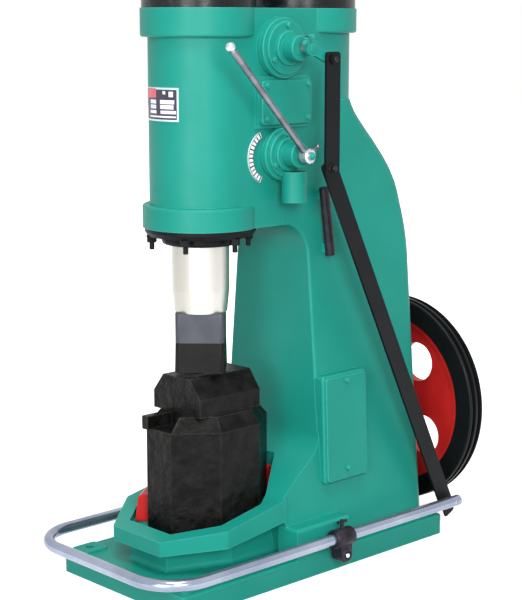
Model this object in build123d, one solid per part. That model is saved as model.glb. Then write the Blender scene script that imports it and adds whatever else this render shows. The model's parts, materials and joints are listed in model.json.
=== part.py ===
from build123d import *
import math
import os

# Self-contained pneumatic forging hammer, in millimetres.
# The ram axis is the vertical through the origin and the floor is z = 0.
# The ram is at the front (-X), the crank and flywheel at the rear (+X),
# and the valves, hand lever and treadle link are on the -Y side.

# bed slab
BED_FRONT = -296.0
BED_BEYOND_COLUMN = 40.0
BED_HALF = 260.0
BED_H = 60.0
BED_CORNER_R = 14.0
BED_EDGE_R = 6.0
BED_SINK = 10.0
PAD_L = 84.0
PAD_W = 66.0
PAD_H = 8.0
PAD_CORNER_R = 12.0
PAD_EDGE_R = 3.0
FOOT_HOLE_R = 13.0
FOOT_FRONT_X = -238.0
FOOT_REAR_X = 656.0
FOOT_Y = 215.0

# anvil socket: an octagonal collar on a narrower neck
COLLAR_FRONT = -241.0
COLLAR_FRONT_HALF = 101.0
COLLAR_SHOULDER_X = -98.0
COLLAR_HALF = 217.0
COLLAR_SIDE_REAR = 118.0
COLLAR_BOTTOM = 118.0
COLLAR_BOTTOM_SLOPE = 0.13
COLLAR_TOP = 159.0
COLLAR_TOP_SLOPE = 0.19
COLLAR_LEVEL_END = 90.0
NECK_FRONT = -197.0
NECK_FRONT_HALF = 76.0
NECK_SHOULDER_X = -17.0
NECK_HALF = 142.0
NECK_BLEND_R = 14.0
WEB_X = 150.0
COLLAR_CORNER_R = 14.0
COLLAR_EDGE_R = 6.0
SWEEP_LOW = (0.45, 0.31)
SWEEP_HIGH = (0.822, 0.603)

# column
COLUMN_FRONT = 270.0
COLUMN_REAR = 702.0
COLUMN_TAPER = 0.088
COLUMN_HALF_AT_FLOOR = 226.0
COLUMN_FRONT_R = 8.0
COLUMN_REAR_R = 30.0
BED_REAR = COLUMN_REAR + BED_BEYOND_COLUMN
CRANK_CASE_TOP = 850.0
CASE_CURVE = ((0.058, 0.259), (0.207, 0.491), (0.504, 0.699), (0.851, 0.889))
SWEEP_TOP = 388.0
COLLAR_INTO_COLUMN = 30.0

# twin cylinder head
HEAD_HALF = 137.5
HEAD_BOTTOM = 984.0
HEAD_TOP = 1568.0
HEAD_H = HEAD_TOP - HEAD_BOTTOM
THROAT_R = 92.0
REAR_AXIS_X = 383.0
CASE_TIP_X = REAR_AXIS_X + 77.0
CASE_TIP_Z = HEAD_BOTTOM + 0.572 * HEAD_H
FLANGE_R = 157.0
LOW_FLANGE_H = 63.0
TOP_FLANGE_H = 76.0
REAR_FLANGE_H = 67.0
FLANGE_EDGE_R = 7.0
BORE_R = 84.0
REAR_BORE_DEPTH = 300.0
COVER_R = 153.0
COVER_H = 38.0
COVER_BOSS_R = 62.0
COVER_BOSS_H = 16.0
COVER_EDGE_R = 4.0

# ram and gland
RAM_R = 79.0
RAM_NOSE_R = 73.0
RAM_BOTTOM = 751.0
RAM_NOSE_H = 60.0
RAM_TOP = HEAD_BOTTOM + 0.603 * HEAD_H
GLAND_R = 152.0
GLAND_FOOT_R = 145.0
GLAND_H = 22.0
GLAND_TAPER_H = 12.0
GLAND_RING_R = 106.0
GLAND_RING_H = 25.0
GLAND_RING_EDGE_R = 10.0
GLAND_BORE_R = 79.6

# upper die, a square block set on the diagonal
DIE_TURN = 45.0
UPPER_DIE_W = 134.0
UPPER_DIE_NOSE_W = 138.0
UPPER_DIE_CORNER = 12.0
UPPER_DIE_TOP_H = 81.0
UPPER_DIE_LOW_H = 82.0
DIE_GAP = 12.0

# lower die and anvil block
DIE_X = 20.0
LOWER_DIE_L = 222.0
LOWER_DIE_W = 196.0
LOWER_DIE_TOP_W = 114.0
LOWER_DIE_H = 102.0
LOWER_DIE_SHOULDER = 50.0
DIE_EDGE_R = 4.0
ANVIL_X = 22.5
ANVIL_TOP = RAM_BOTTOM - UPPER_DIE_TOP_H - UPPER_DIE_LOW_H - DIE_GAP - LOWER_DIE_H
ANVIL_HALF_L = 180.5
ANVIL_HALF_W = 136.0
ANVIL_FLAT_L = 70.5
ANVIL_FLAT_W = 51.0
ANVIL_BOTTOM = 140.0
ANVIL_BEVEL = 26.0
ANVIL_BEVEL_H = 40.0
ANVIL_EDGE_R = 5.0
SEAT_GAP = 1.0
SOCKET_GAP = 36.0
RECESS_DEPTH = 24.0
RECESS_REAR_EASE = 10.0
RECESS_SIDE_SET = 23.0

# dovetail groove across the anvil, and the key that locks the lower die in it
GROOVE_HALF = 46.0
GROOVE_DEPTH = 38.0
GROOVE_UNDERCUT = 6.0
KEY_T = 24.0
KEY_OUT = 20.0

# red wedges between the anvil and the socket
WEDGE_W = 84.0
WEDGE_BOTTOM = 154.0
WEDGE_UP = 48.0
WEDGE_T = 43.0
WEDGE_T_LIP = 34.0
WEDGE_LIP_H = 9.0
WEDGE_T_TOP = 24.0
REAR_WEDGE_T = 22.0
REAR_WEDGE_UP = 28.0
WEDGE_EASE = 2.0

# valve gear on the -Y side
CHEST_OUT = 150.0
VALVE_X = 162.0
CHEST_X0 = VALVE_X - 86.0
CHEST_X1 = VALVE_X + 106.0
VALVE_BORE_R = 24.0
VALVE_BORE_END = 100.0
UP_VALVE_Z = HEAD_BOTTOM + 0.820 * HEAD_H
LOW_VALVE_Z = HEAD_BOTTOM + 0.337 * HEAD_H
UP_VALVE_R = 81.0
LOW_VALVE_R = 72.0
CHEST_Z0 = LOW_VALVE_Z + LOW_VALVE_R - 1.0
CHEST_Z1 = UP_VALVE_Z - UP_VALVE_R + 6.0
VALVE_COVER_T = 14.0
VALVE_STEP_IN = 10.0
VALVE_STEP_T = 10.0
HUB_FOOT_R = 46.0
HUB_FOOT_T = 10.0
HUB_R = 34.0
HUB_OUT = 226.0
HUB_EDGE_R = 4.0
SHAFT_R = 11.0
SHAFT_BORE_R = 11.05
SHAFT_OUT = 6.0
CHEST_COVER_W = CHEST_X1 - CHEST_X0 - 6.0
CHEST_COVER_H = CHEST_Z1 - CHEST_Z0 - 18.0
CHEST_COVER_T = 14.0
CHEST_COVER_R = 12.0
CHEST_COVER_EDGE_R = 3.0
STUB_R = 34.0
STUB_HOLE_R = 24.0
STUB_SHIFT = 12.0
STUB_Y = -188.0
STUB_GAP = 5.0
STUB_BOTTOM = HEAD_BOTTOM + LOW_FLANGE_H + STUB_GAP
STUB_HOLE_DEPTH = 60.0
STUB_NECK = 4.0
ARC_X = VALVE_X - 38.0
ARC_Z = LOW_VALVE_Z - 7.0
ARC_R = 66.0
ARC_W = 18.0
ARC_T = 4.0
ARC_HALF_DEG = 64.0
LEVER_L = 398.0
LEVER_R = 7.5
LEVER_UP_DEG = 46.3
LEVER_Y = -250.0
LEVER_HUB_R = 18.0
LEVER_ROOT = 13.0
BOLT_R = 4.0
BOLT_HEAD_R = 6.0
LEVER_HUB_T = 24.0
LEVER_TIP_R = 9.0
CLAMP_BOLT_DEG = 30.0
CLAMP_BOLT_L = 46.0

# treadle
PIPE_R = 16.5
TREADLE_HALF = 300.0
TREADLE_Z = 108.0
TREADLE_FRONT = -380.0
TREADLE_BEND_R = 130.0
PIVOT_X = 258.0
PIVOT_Z = 60.0
PIVOT_R = 11.0
PIVOT_BORE_R = 11.05
SCREW_R = 6.0
SCREW_UP = 24.0
SCREW_BAR_R = 4.5
SCREW_BAR_HALF = 17.0
CLAMP_L = 62.0
CLAMP_R = 27.0
LOBE_R = 22.0
LOBE_T = 40.0
PIN_SET = 60.0
PIN_END = 4.0
TREADLE_FAR_END = 320.0
BOSS_FRONT = PIVOT_X - 136.0
BOSS_REAR = PIVOT_X + 72.0
BOSS_EDGE_R = 10.0
BOSS_DEPTH = 76.0
BOSS_TOP = 148.0

# link between the treadle and the upper valve
LINK_Y = -268.0
BAR_W = 52.0
BAR_T = 8.0
BAR_CORNER_R = 10.0
BAR_END = 20.0
LINK_TOP_X = VALVE_X + 67.0
LINK_TOP_Z = UP_VALVE_Z - 29.0
LINK_KNEE_Z = LOW_VALVE_Z - 36.0
LINK_FOOT_X = 742.0
PIPE_BEYOND_PIN = 24.0
TREADLE_REAR = LINK_FOOT_X + PIPE_BEYOND_PIN
LINK_PIN_R = 7.0
LINK_PIN_BORE_R = 7.05
LINK_TOP_HOLE_R = 9.8
LINK_HEAD_R = 14.0
LINK_HEAD_T = 4.0
ARM_OUT = -270.0
ARM_EYE_R = 20.0
ARM_TIP_R = 16.0
VALVE_ARM_T = 12.0
ARM_LUG_L = 34.0
ARM_LUG_W = 24.0
ARM_LUG_DEG = 118.0

# round bar on two seats beside the column
ROD_R = 14.0
ROD_TOP_X = 312.0
ROD_TOP_Z = HEAD_BOTTOM + 95.0
ROD_FOOT_X = 340.0
ROD_FOOT_Z = HEAD_BOTTOM - 96.0
ROD_OFF = 4.0
ROD_SEAT_HALF = 9.0
ROD_SEAT_H = 26.0
ROD_SEAT_IN = 20.0
ROD_SEAT_FOOT = 0.1
ROD_SEAT_HEAD = 0.9

# side cover plate
SIDE_PAD_X0 = COLUMN_FRONT + 1.0
SIDE_PAD_X1 = COLUMN_FRONT + 177.0
SIDE_PAD_Z0 = 238.0
SIDE_PAD_Z1 = 552.0
SIDE_PAD_OUT = 15.0
SIDE_PAD_TAPER = 0.04
SIDE_PAD_R = 10.0
SIDE_PAD_EDGE_R = 7.0
SIDE_COVER_T = 7.0
SIDE_COVER_INSET = 6.0
SIDE_COVER_EDGE_R = 3.0

# nameplate
PLATE_W_DEG = 56.0
PLATE_TURN = 178.0
PLATE_H = 88.0
PLATE_Z0 = HEAD_BOTTOM + 0.572 * HEAD_H - PLATE_H / 2
PLATE_T = 2.0

# flywheel on the crankshaft
WHEEL_X = COLUMN_REAR + 90.0
WHEEL_Z = 371.0
WHEEL_R = 321.0
RIM_DEPTH = 59.0
WHEEL_RED_R = WHEEL_R - RIM_DEPTH
RIM_W = 58.0
RIM_EDGE_R = 6.0
DISC_T = 26.0
DISC_IN = 8.0
WHEEL_HUB_R = 60.0
WHEEL_HUB_L = 104.0
HUB_FRONT = 20.0
WHEEL_HOLES = 4
WHEEL_WEB = 41.0
WHEEL_HOLE_R = (WHEEL_RED_R - WHEEL_HUB_R) / 2 - WHEEL_WEB
WHEEL_HOLE_PCD_R = (WHEEL_RED_R + WHEEL_HUB_R) / 2
WHEEL_LEDGE_W = 12.0
WHEEL_LEDGE_T = 6.0
WHEEL_HOLE_TURN = 127.0
GROOVES = 2
GROOVE_W = 17.0
GROOVE_D = 14.0
GROOVE_PITCH = 25.0
CRANK_R = 34.0
CRANK_BORE_R = 34.05
CRANK_BORE_L = 120.0
CRANK_OUT = 14.0
BEARING_R = 96.0
BEARING_T = 26.0

# room left past a face when cutting through it, and sinking of welded-on shapes
CUT = 10.0
SINK = 20.0


def save(shape, name):
    export_step(shape, os.path.join("parts", name + ".step"))


def block(x0, x1, y0, y1, z0, z1):
    size = (x1 - x0, y1 - y0, z1 - z0)
    centre = ((x0 + x1) / 2, (y0 + y1) / 2, (z0 + z1) / 2)
    return Pos(*centre) * Box(*size)


def rod(r, a, b):
    a = Vector(*a)
    b = Vector(*b)
    plane = Plane(origin=a, z_dir=b - a)
    return extrude(plane * Circle(r), (b - a).length)


def prism(points, z0, z1):
    outline = Polygon(*points, align=None)
    return Pos(0, 0, z0) * extrude(outline, z1 - z0)


def turned(points, x=0.0):
    face = make_face(Plane.XZ * Polyline(*points, close=True))
    return Pos(x, 0, 0) * revolve(face, Axis.Z, 360)


def soft_rim(body, z, r, ease):
    rims = [e for e in body.edges().filter_by(GeomType.CIRCLE)
            if abs(e.position_at(0).Z - z) < 0.01 and abs(e.radius - r) < 0.01]
    return fillet(rims, ease)


def between(start, end, share):
    return (start[0] + share[0] * (end[0] - start[0]), start[1] + share[1] * (end[1] - start[1]))


def side_prism(edges, half):
    face = make_face(Plane.XZ * edges)
    return extrude(face, half, both=True)


def octagon(front, rear, half, flat, shoulder_front, shoulder_rear):
    return [(front, -flat), (shoulder_front, -half), (shoulder_rear, -half), (rear, -flat),
            (rear, flat), (shoulder_rear, half), (shoulder_front, half), (front, flat)]


def collar_top_at(x):
    return COLLAR_TOP + COLLAR_TOP_SLOPE * (x - COLLAR_FRONT)


def collar_bottom_at(x):
    return COLLAR_BOTTOM + COLLAR_BOTTOM_SLOPE * (x - COLLAR_FRONT)


def column_half_at(z):
    return COLUMN_HALF_AT_FLOOR - COLUMN_TAPER * z


def bed():
    slab = block(BED_FRONT, BED_REAR, -BED_HALF, BED_HALF, 0, BED_H)
    slab = fillet(slab.edges().filter_by(Axis.Z), BED_CORNER_R)
    slab = fillet(slab.faces().sort_by(Axis.Z)[-1].edges(), BED_EDGE_R)
    neck = octagon(NECK_FRONT, COLUMN_FRONT + 2 * SINK, NECK_HALF, NECK_FRONT_HALF,
                   NECK_SHOULDER_X, COLUMN_FRONT + SINK)
    slab += prism(neck, BED_H / 2, COLLAR_TOP)
    foot = [e for e in slab.edges() if abs(e.center().Z - BED_H) < 0.01 and abs(e.center().Y) < NECK_HALF + 1
            and NECK_FRONT - 1 < e.center().X < COLUMN_FRONT]
    slab = fillet(foot, NECK_BLEND_R)
    for x in (FOOT_FRONT_X, FOOT_REAR_X):
        for side in (-1, 1):
            slab += foot_pad(x, side * FOOT_Y)
    return slab


def foot_pad(x, y):
    pad = extrude(RectangleRounded(PAD_L, PAD_W, PAD_CORNER_R), PAD_H + BED_SINK)
    pad = fillet(pad.faces().sort_by(Axis.Z)[-1].edges(), PAD_EDGE_R)
    return Pos(x, y, BED_H - BED_SINK) * pad


def collar():
    rear = COLUMN_FRONT + COLLAR_INTO_COLUMN
    low = BED_H - BED_SINK
    outline = [(COLLAR_FRONT, -COLLAR_FRONT_HALF), (COLLAR_SHOULDER_X, -COLLAR_HALF), (rear, -COLLAR_HALF),
               (rear, COLLAR_HALF), (COLLAR_SHOULDER_X, COLLAR_HALF), (COLLAR_FRONT, COLLAR_FRONT_HALF)]
    ring = prism(outline, low, SWEEP_TOP)
    corners = [e for e in ring.edges().filter_by(Axis.Z) if e.center().X < COLLAR_SHOULDER_X + 1]
    ring = fillet(corners, COLLAR_CORNER_R) & collar_width()
    edge = COLLAR_FRONT - SINK
    low_front = (edge, collar_bottom_at(edge))
    low_rear = (COLLAR_SIDE_REAR, collar_bottom_at(COLLAR_SIDE_REAR))
    web_foot = (WEB_X, low)
    rear_foot = (rear, low)
    rear_top = (rear, SWEEP_TOP)
    sweep_end = (COLUMN_FRONT, SWEEP_TOP)
    sweep_start = (COLLAR_LEVEL_END, collar_top_at(COLLAR_LEVEL_END))
    top_front = (edge, collar_top_at(edge))
    sweep = Spline(sweep_start, between(sweep_start, sweep_end, SWEEP_LOW),
                   between(sweep_start, sweep_end, SWEEP_HIGH), sweep_end,
                   tangents=[(1, COLLAR_TOP_SLOPE), (0, 1)])
    edges = Curve() + [Line(low_front, low_rear), Line(low_rear, web_foot), Line(web_foot, rear_foot),
                       Line(rear_foot, rear_top), Line(rear_top, sweep_end), sweep,
                       Line(sweep_start, top_front), Line(top_front, low_front)]
    return ring & side_prism(edges, COLLAR_HALF + SINK)


def taper_section(top):
    low = BED_H - 10
    foot = column_half_at(low)
    knee = (COLUMN_HALF_AT_FLOOR - HEAD_HALF) / COLUMN_TAPER
    return Polygon((-foot, low), (foot, low), (HEAD_HALF, knee), (HEAD_HALF, top), (-HEAD_HALF, top),
                   (-HEAD_HALF, knee), align=None)


def collar_width():
    front = block(COLLAR_FRONT - SINK, COLLAR_SIDE_REAR, -COLLAR_HALF, COLLAR_HALF, 0, SWEEP_TOP)
    reach = COLUMN_REAR - COLLAR_SIDE_REAR
    web = Pos(COLLAR_SIDE_REAR, 0, 0) * extrude(Plane.YZ * taper_section(HEAD_TOP), reach)
    return front + web


def column():
    low = BED_H - BED_SINK
    throat = (COLUMN_FRONT - THROAT_R, HEAD_BOTTOM)
    arch_end = (COLUMN_FRONT, HEAD_BOTTOM - THROAT_R)
    hidden = (COLUMN_FRONT - THROAT_R, HEAD_BOTTOM + LOW_FLANGE_H)
    inside = (REAR_AXIS_X, CASE_TIP_Z)
    tip = (CASE_TIP_X, CASE_TIP_Z)
    start = (COLUMN_REAR, CRANK_CASE_TOP)
    sweep = Spline(start, *[between(start, tip, share) for share in CASE_CURVE], tip,
                   tangents=[(0, 1), (-0.5, 1)])
    edges = Curve() + [Line((COLUMN_FRONT, low), (COLUMN_REAR, low)),
                       Line((COLUMN_REAR, low), start), sweep,
                       Line(tip, inside), Line(inside, hidden), Line(hidden, throat),
                       CenterArc(throat_centre(), THROAT_R, 0, 90),
                       Line(arch_end, (COLUMN_FRONT, low))]
    body = side_prism(edges, COLUMN_HALF_AT_FLOOR + SINK)
    body = body & extrude(Plane.YZ * taper_section(HEAD_TOP), COLUMN_REAR + SINK)
    sides = [e for e in body.edges() if abs(e.center().Y) > HEAD_HALF - 1 and e.center().Z > BED_H]
    rear = [e for e in sides if e.center().X > CASE_TIP_X + 1]
    body = fillet(rear, COLUMN_REAR_R)
    sides = [e for e in body.edges() if abs(e.center().Y) > HEAD_HALF - 1 and e.center().Z > BED_H]
    front = [e for e in sides if e.center().X < COLUMN_FRONT + 1 and e.center().Z < HEAD_BOTTOM - 1]
    return fillet(front, COLUMN_FRONT_R)


def throat_centre():
    return (COLUMN_FRONT - THROAT_R, HEAD_BOTTOM - THROAT_R)


def flange(x, low, high, soft_z):
    body = Pos(x, 0, low) * extrude(Circle(FLANGE_R), high - low)
    return soft_rim(body, soft_z, FLANGE_R, FLANGE_EDGE_R)


def head():
    body = Pos(0, 0, HEAD_BOTTOM) * extrude(Circle(HEAD_HALF), HEAD_H)
    body += Pos(REAR_AXIS_X, 0, HEAD_BOTTOM) * extrude(Circle(HEAD_HALF), HEAD_H)
    body += block(0, REAR_AXIS_X, -HEAD_HALF, HEAD_HALF, HEAD_BOTTOM, HEAD_TOP)
    low_top = HEAD_BOTTOM + LOW_FLANGE_H
    body += flange(0, HEAD_BOTTOM, low_top, low_top)
    for x, height in ((0, TOP_FLANGE_H), (REAR_AXIS_X, REAR_FLANGE_H)):
        body += flange(x, HEAD_TOP - height, HEAD_TOP, HEAD_TOP - height)
    body += block(CHEST_X0, CHEST_X1, -CHEST_OUT, 0, CHEST_Z0, CHEST_Z1)
    for z, r in ((UP_VALVE_Z, UP_VALVE_R), (LOW_VALVE_Z, LOW_VALVE_R)):
        body += rod(r, (VALVE_X, 0, z), (VALVE_X, -CHEST_OUT, z))
    return body


def side_boss(side):
    inner = side * (BED_HALF - BOSS_DEPTH)
    outer = side * BED_HALF
    body = block(BOSS_FRONT, BOSS_REAR, min(inner, outer), max(inner, outer), BED_H - BED_SINK, BOSS_TOP)
    return fillet(body.faces().sort_by(Axis.Z)[-1].edges(), BOSS_EDGE_R)


def side_frame():
    tilt = math.atan(SIDE_PAD_TAPER)
    out = (0, -math.cos(tilt), math.sin(tilt))
    face = column_half_at(SIDE_PAD_Z0) + SIDE_PAD_OUT
    return Plane(origin=(SIDE_PAD_X0, -face, SIDE_PAD_Z0), x_dir=(1, 0, 0), z_dir=out)


def side_rectangle(inset):
    width = SIDE_PAD_X1 - SIDE_PAD_X0
    height = SIDE_PAD_Z1 - SIDE_PAD_Z0
    shape = RectangleRounded(width - 2 * inset, height - 2 * inset, SIDE_PAD_R)
    return Pos(width / 2, height / 2) * shape


def side_pad():
    body = extrude(side_rectangle(0), -SIDE_PAD_OUT - 2 * SINK)
    body = fillet(body.faces().sort_by(Axis.Z)[-1].edges(), SIDE_PAD_EDGE_R)
    return side_frame() * body


def frame_casting():
    body = bed() + collar() + column() + head() + side_pad()
    for side in (-1, 1):
        body += side_boss(side)
    for seat in rod_seats():
        body += seat
    body -= guide_rod()
    body -= rod(BORE_R, (0, 0, HEAD_BOTTOM - CUT), (0, 0, HEAD_TOP + CUT))
    body -= rod(BORE_R, (REAR_AXIS_X, 0, HEAD_TOP - REAR_BORE_DEPTH), (REAR_AXIS_X, 0, HEAD_TOP + CUT))
    pit = octagon(ANVIL_X - ANVIL_HALF_L - SEAT_GAP, ANVIL_X + ANVIL_HALF_L + REAR_WEDGE_T,
                  ANVIL_HALF_W + SEAT_GAP, ANVIL_FLAT_W + 0.4 * SEAT_GAP,
                  ANVIL_X - ANVIL_FLAT_L, ANVIL_X + ANVIL_FLAT_L)
    body -= prism(pit, ANVIL_BOTTOM, ANVIL_TOP)
    body -= socket_recess()
    body -= wedge_slot()
    for x in (FOOT_FRONT_X, FOOT_REAR_X):
        for side in (-1, 1):
            y = side * FOOT_Y
            body -= rod(FOOT_HOLE_R, (x, y, -CUT), (x, y, BED_H + PAD_H + CUT))
    for z in (UP_VALVE_Z, LOW_VALVE_Z):
        body -= rod(VALVE_BORE_R, (VALVE_X, -CHEST_OUT - CUT, z), (VALVE_X, -VALVE_BORE_END, z))
    body -= rod(CRANK_BORE_R, (COLUMN_REAR - CRANK_BORE_L, 0, WHEEL_Z), (COLUMN_REAR + CUT, 0, WHEEL_Z))
    for side in (-1, 1):
        pin_in = side * (BED_HALF - PIN_SET)
        body -= rod(PIVOT_R, (PIVOT_X, pin_in, PIVOT_Z), (PIVOT_X, side * (BED_HALF + CUT), PIVOT_Z))
    return body


def socket_recess():
    front = ANVIL_X - ANVIL_HALF_L - SOCKET_GAP
    rear = ANVIL_X + ANVIL_HALF_L + REAR_WEDGE_T
    shoulder = ANVIL_X - ANVIL_FLAT_L - SOCKET_GAP
    side_rear = ANVIL_X + ANVIL_FLAT_L - RECESS_SIDE_SET
    half = ANVIL_HALF_W + SOCKET_GAP
    front_half = ANVIL_FLAT_W + SOCKET_GAP
    rear_half = ANVIL_FLAT_W + RECESS_REAR_EASE
    outline = [(front, -front_half), (shoulder, -half), (side_rear, -half), (rear, -rear_half),
               (rear, rear_half), (side_rear, half), (shoulder, half), (front, front_half)]
    floor = Polygon((front - CUT, collar_top_at(front - CUT) - RECESS_DEPTH),
                    (rear + CUT, collar_top_at(rear + CUT) - RECESS_DEPTH),
                    (rear + CUT, ANVIL_TOP), (front - CUT, ANVIL_TOP), align=None)
    return prism(outline, BED_H, ANVIL_TOP) & extrude(Plane.XZ * floor, half + CUT, both=True)


def wedge_plane():
    front = Vector(ANVIL_X - ANVIL_HALF_L, ANVIL_FLAT_W, WEDGE_BOTTOM)
    back = Vector(ANVIL_X - ANVIL_FLAT_L, ANVIL_HALF_W, WEDGE_BOTTOM)
    along = (back - front).normalized()
    out = Vector(-along.Y, along.X, 0)
    return Plane(origin=(front + back) / 2, x_dir=out, z_dir=along)


def wedge_top():
    return collar_top_at(wedge_plane().origin.X) + WEDGE_UP - WEDGE_BOTTOM


def side_wedge():
    lip = wedge_top() - WEDGE_LIP_H
    outline = Polygon((SEAT_GAP, 0), (WEDGE_T, 0), (WEDGE_T_LIP, lip), (WEDGE_T_TOP, wedge_top()),
                      (SEAT_GAP, wedge_top()), align=None)
    return extrude(wedge_plane() * outline, WEDGE_W / 2, both=True)


def wedge_slot():
    reach = WEDGE_T + SEAT_GAP
    outline = Polygon((-SEAT_GAP, 0), (reach, 0), (reach, wedge_top()), (-SEAT_GAP, wedge_top()), align=None)
    return extrude(wedge_plane() * outline, WEDGE_W / 2 + SEAT_GAP, both=True)


def rear_wedge():
    x0 = ANVIL_X + ANVIL_HALF_L + SEAT_GAP
    x1 = ANVIL_X + ANVIL_HALF_L + REAR_WEDGE_T - SEAT_GAP
    half = ANVIL_FLAT_W - WEDGE_EASE
    top = collar_top_at(x0) + REAR_WEDGE_UP
    return block(x0, x1, -half, half, ANVIL_BOTTOM, top)


def anvil_outline():
    return octagon(ANVIL_X - ANVIL_HALF_L, ANVIL_X + ANVIL_HALF_L, ANVIL_HALF_W, ANVIL_FLAT_W,
                   ANVIL_X - ANVIL_FLAT_L, ANVIL_X + ANVIL_FLAT_L)


def dovetail(right_half):
    low = -GROOVE_HALF - GROOVE_UNDERCUT
    return Polygon((-GROOVE_HALF, 0), (low, -GROOVE_DEPTH), (right_half, -GROOVE_DEPTH), (right_half, 0),
                   align=None)


def anvil():
    shoulder_z = ANVIL_TOP - ANVIL_BEVEL_H
    outline = Polygon(*anvil_outline(), align=None)
    body = prism(anvil_outline(), ANVIL_BOTTOM, shoulder_z)
    body += loft([Pos(0, 0, shoulder_z) * outline, Pos(0, 0, ANVIL_TOP) * offset(outline, -ANVIL_BEVEL)])
    body = fillet(body.edges().filter_by(Axis.Z), ANVIL_EDGE_R)
    profile = Plane.YZ * dovetail(GROOVE_HALF)
    groove = Pos(ANVIL_X, 0, ANVIL_TOP) * extrude(profile, ANVIL_HALF_L + CUT, both=True)
    return body - groove


def die_key():
    front = ANVIL_X - ANVIL_HALF_L - KEY_OUT
    return block(front, ANVIL_X + ANVIL_HALF_L, GROOVE_HALF - KEY_T, GROOVE_HALF,
                 ANVIL_TOP - GROOVE_DEPTH, ANVIL_TOP)


def lower_die():
    half = LOWER_DIE_W / 2
    top = LOWER_DIE_TOP_W / 2
    section = Polygon((-half, 0), (half, 0), (half, LOWER_DIE_SHOULDER), (top, LOWER_DIE_H),
                      (-top, LOWER_DIE_H), (-half, LOWER_DIE_SHOULDER), align=None)
    section = fillet([v for v in section.vertices() if v.Y > 1], DIE_EDGE_R)
    section += dovetail(GROOVE_HALF - KEY_T)
    return Pos(DIE_X, 0, ANVIL_TOP) * extrude(Plane.YZ * section, LOWER_DIE_L / 2, both=True)


def upper_die_plane(z):
    return Pos(0, 0, z) * Rot(0, 0, DIE_TURN)


def upper_die_holder():
    section = RectangleRounded(UPPER_DIE_W, UPPER_DIE_W, UPPER_DIE_CORNER)
    return upper_die_plane(RAM_BOTTOM - UPPER_DIE_TOP_H) * extrude(section, UPPER_DIE_TOP_H)


def upper_die():
    low = RAM_BOTTOM - UPPER_DIE_TOP_H - UPPER_DIE_LOW_H
    foot = RectangleRounded(UPPER_DIE_NOSE_W, UPPER_DIE_NOSE_W, UPPER_DIE_CORNER)
    top = Pos(0, 0, UPPER_DIE_LOW_H) * RectangleRounded(UPPER_DIE_W, UPPER_DIE_W, UPPER_DIE_CORNER)
    return upper_die_plane(low) * loft([foot, top])


def ram():
    body = rod(RAM_R, (0, 0, RAM_BOTTOM + RAM_NOSE_H), (0, 0, RAM_TOP))
    foot = Pos(0, 0, RAM_BOTTOM) * Circle(RAM_NOSE_R)
    neck = Pos(0, 0, RAM_BOTTOM + RAM_NOSE_H) * Circle(RAM_R)
    body += loft([foot, neck])
    return body


def gland_flange():
    low = HEAD_BOTTOM - GLAND_H
    return turned([(GLAND_BORE_R, low), (GLAND_FOOT_R, low), (GLAND_R, low + GLAND_TAPER_H),
                   (GLAND_R, HEAD_BOTTOM), (GLAND_BORE_R, HEAD_BOTTOM)])


def gland_ring():
    top = HEAD_BOTTOM - GLAND_H
    low = top - GLAND_RING_H
    body = turned([(GLAND_BORE_R, low), (GLAND_RING_R, low), (GLAND_RING_R, top), (GLAND_BORE_R, top)])
    return soft_rim(body, low, GLAND_RING_R, GLAND_RING_EDGE_R)


def cylinder_cover(x):
    step = HEAD_TOP + COVER_H
    top = step + COVER_BOSS_H
    body = turned([(0, HEAD_TOP), (COVER_R, HEAD_TOP), (COVER_R, step), (COVER_BOSS_R, step),
                   (COVER_BOSS_R, top), (0, top)], x)
    body = soft_rim(body, step, COVER_R, COVER_EDGE_R)
    return soft_rim(body, top, COVER_BOSS_R, COVER_EDGE_R)


def valve_cover(z, r):
    step = -CHEST_OUT - VALVE_COVER_T
    face = step - VALVE_STEP_T
    foot = face - HUB_FOOT_T
    body = rod(r, (VALVE_X, -CHEST_OUT, z), (VALVE_X, step, z))
    body += rod(r - VALVE_STEP_IN, (VALVE_X, step, z), (VALVE_X, face, z))
    body += rod(HUB_FOOT_R, (VALVE_X, face, z), (VALVE_X, foot, z))
    body += rod(HUB_R, (VALVE_X, foot, z), (VALVE_X, -HUB_OUT, z))
    rims = [e for e in body.edges().filter_by(GeomType.CIRCLE) if e.position_at(0).Y < -CHEST_OUT - 1
            and e.radius > HUB_R - 1 and not inner_corner(e, r)]
    body = fillet(rims, HUB_EDGE_R)
    return body - rod(SHAFT_BORE_R, (VALVE_X, 0, z), (VALVE_X, -HUB_OUT - CUT, z))


def exhaust_cover():
    x = VALVE_X + STUB_SHIFT
    body = valve_cover(LOW_VALVE_Z, LOW_VALVE_R)
    body += rod(STUB_R, (x, STUB_Y, STUB_BOTTOM), (x, STUB_Y, LOW_VALVE_Z - HUB_FOOT_R))
    body += rod(STUB_R - STUB_NECK, (x, STUB_Y, STUB_BOTTOM), (x, STUB_Y, LOW_VALVE_Z - SHAFT_R - CUT))
    low = STUB_BOTTOM - CUT
    return body - rod(STUB_HOLE_R, (x, STUB_Y, low), (x, STUB_Y, STUB_BOTTOM + STUB_HOLE_DEPTH))


def inner_corner(edge, r):
    y = edge.position_at(0).Y
    step = -CHEST_OUT - VALVE_COVER_T
    face = step - VALVE_STEP_T
    foot = face - HUB_FOOT_T
    seats = ((step, r - VALVE_STEP_IN), (face, HUB_FOOT_R), (foot, HUB_R))
    return any(abs(y - at) < 0.01 and abs(edge.radius - radius) < 0.01 for at, radius in seats)


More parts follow.
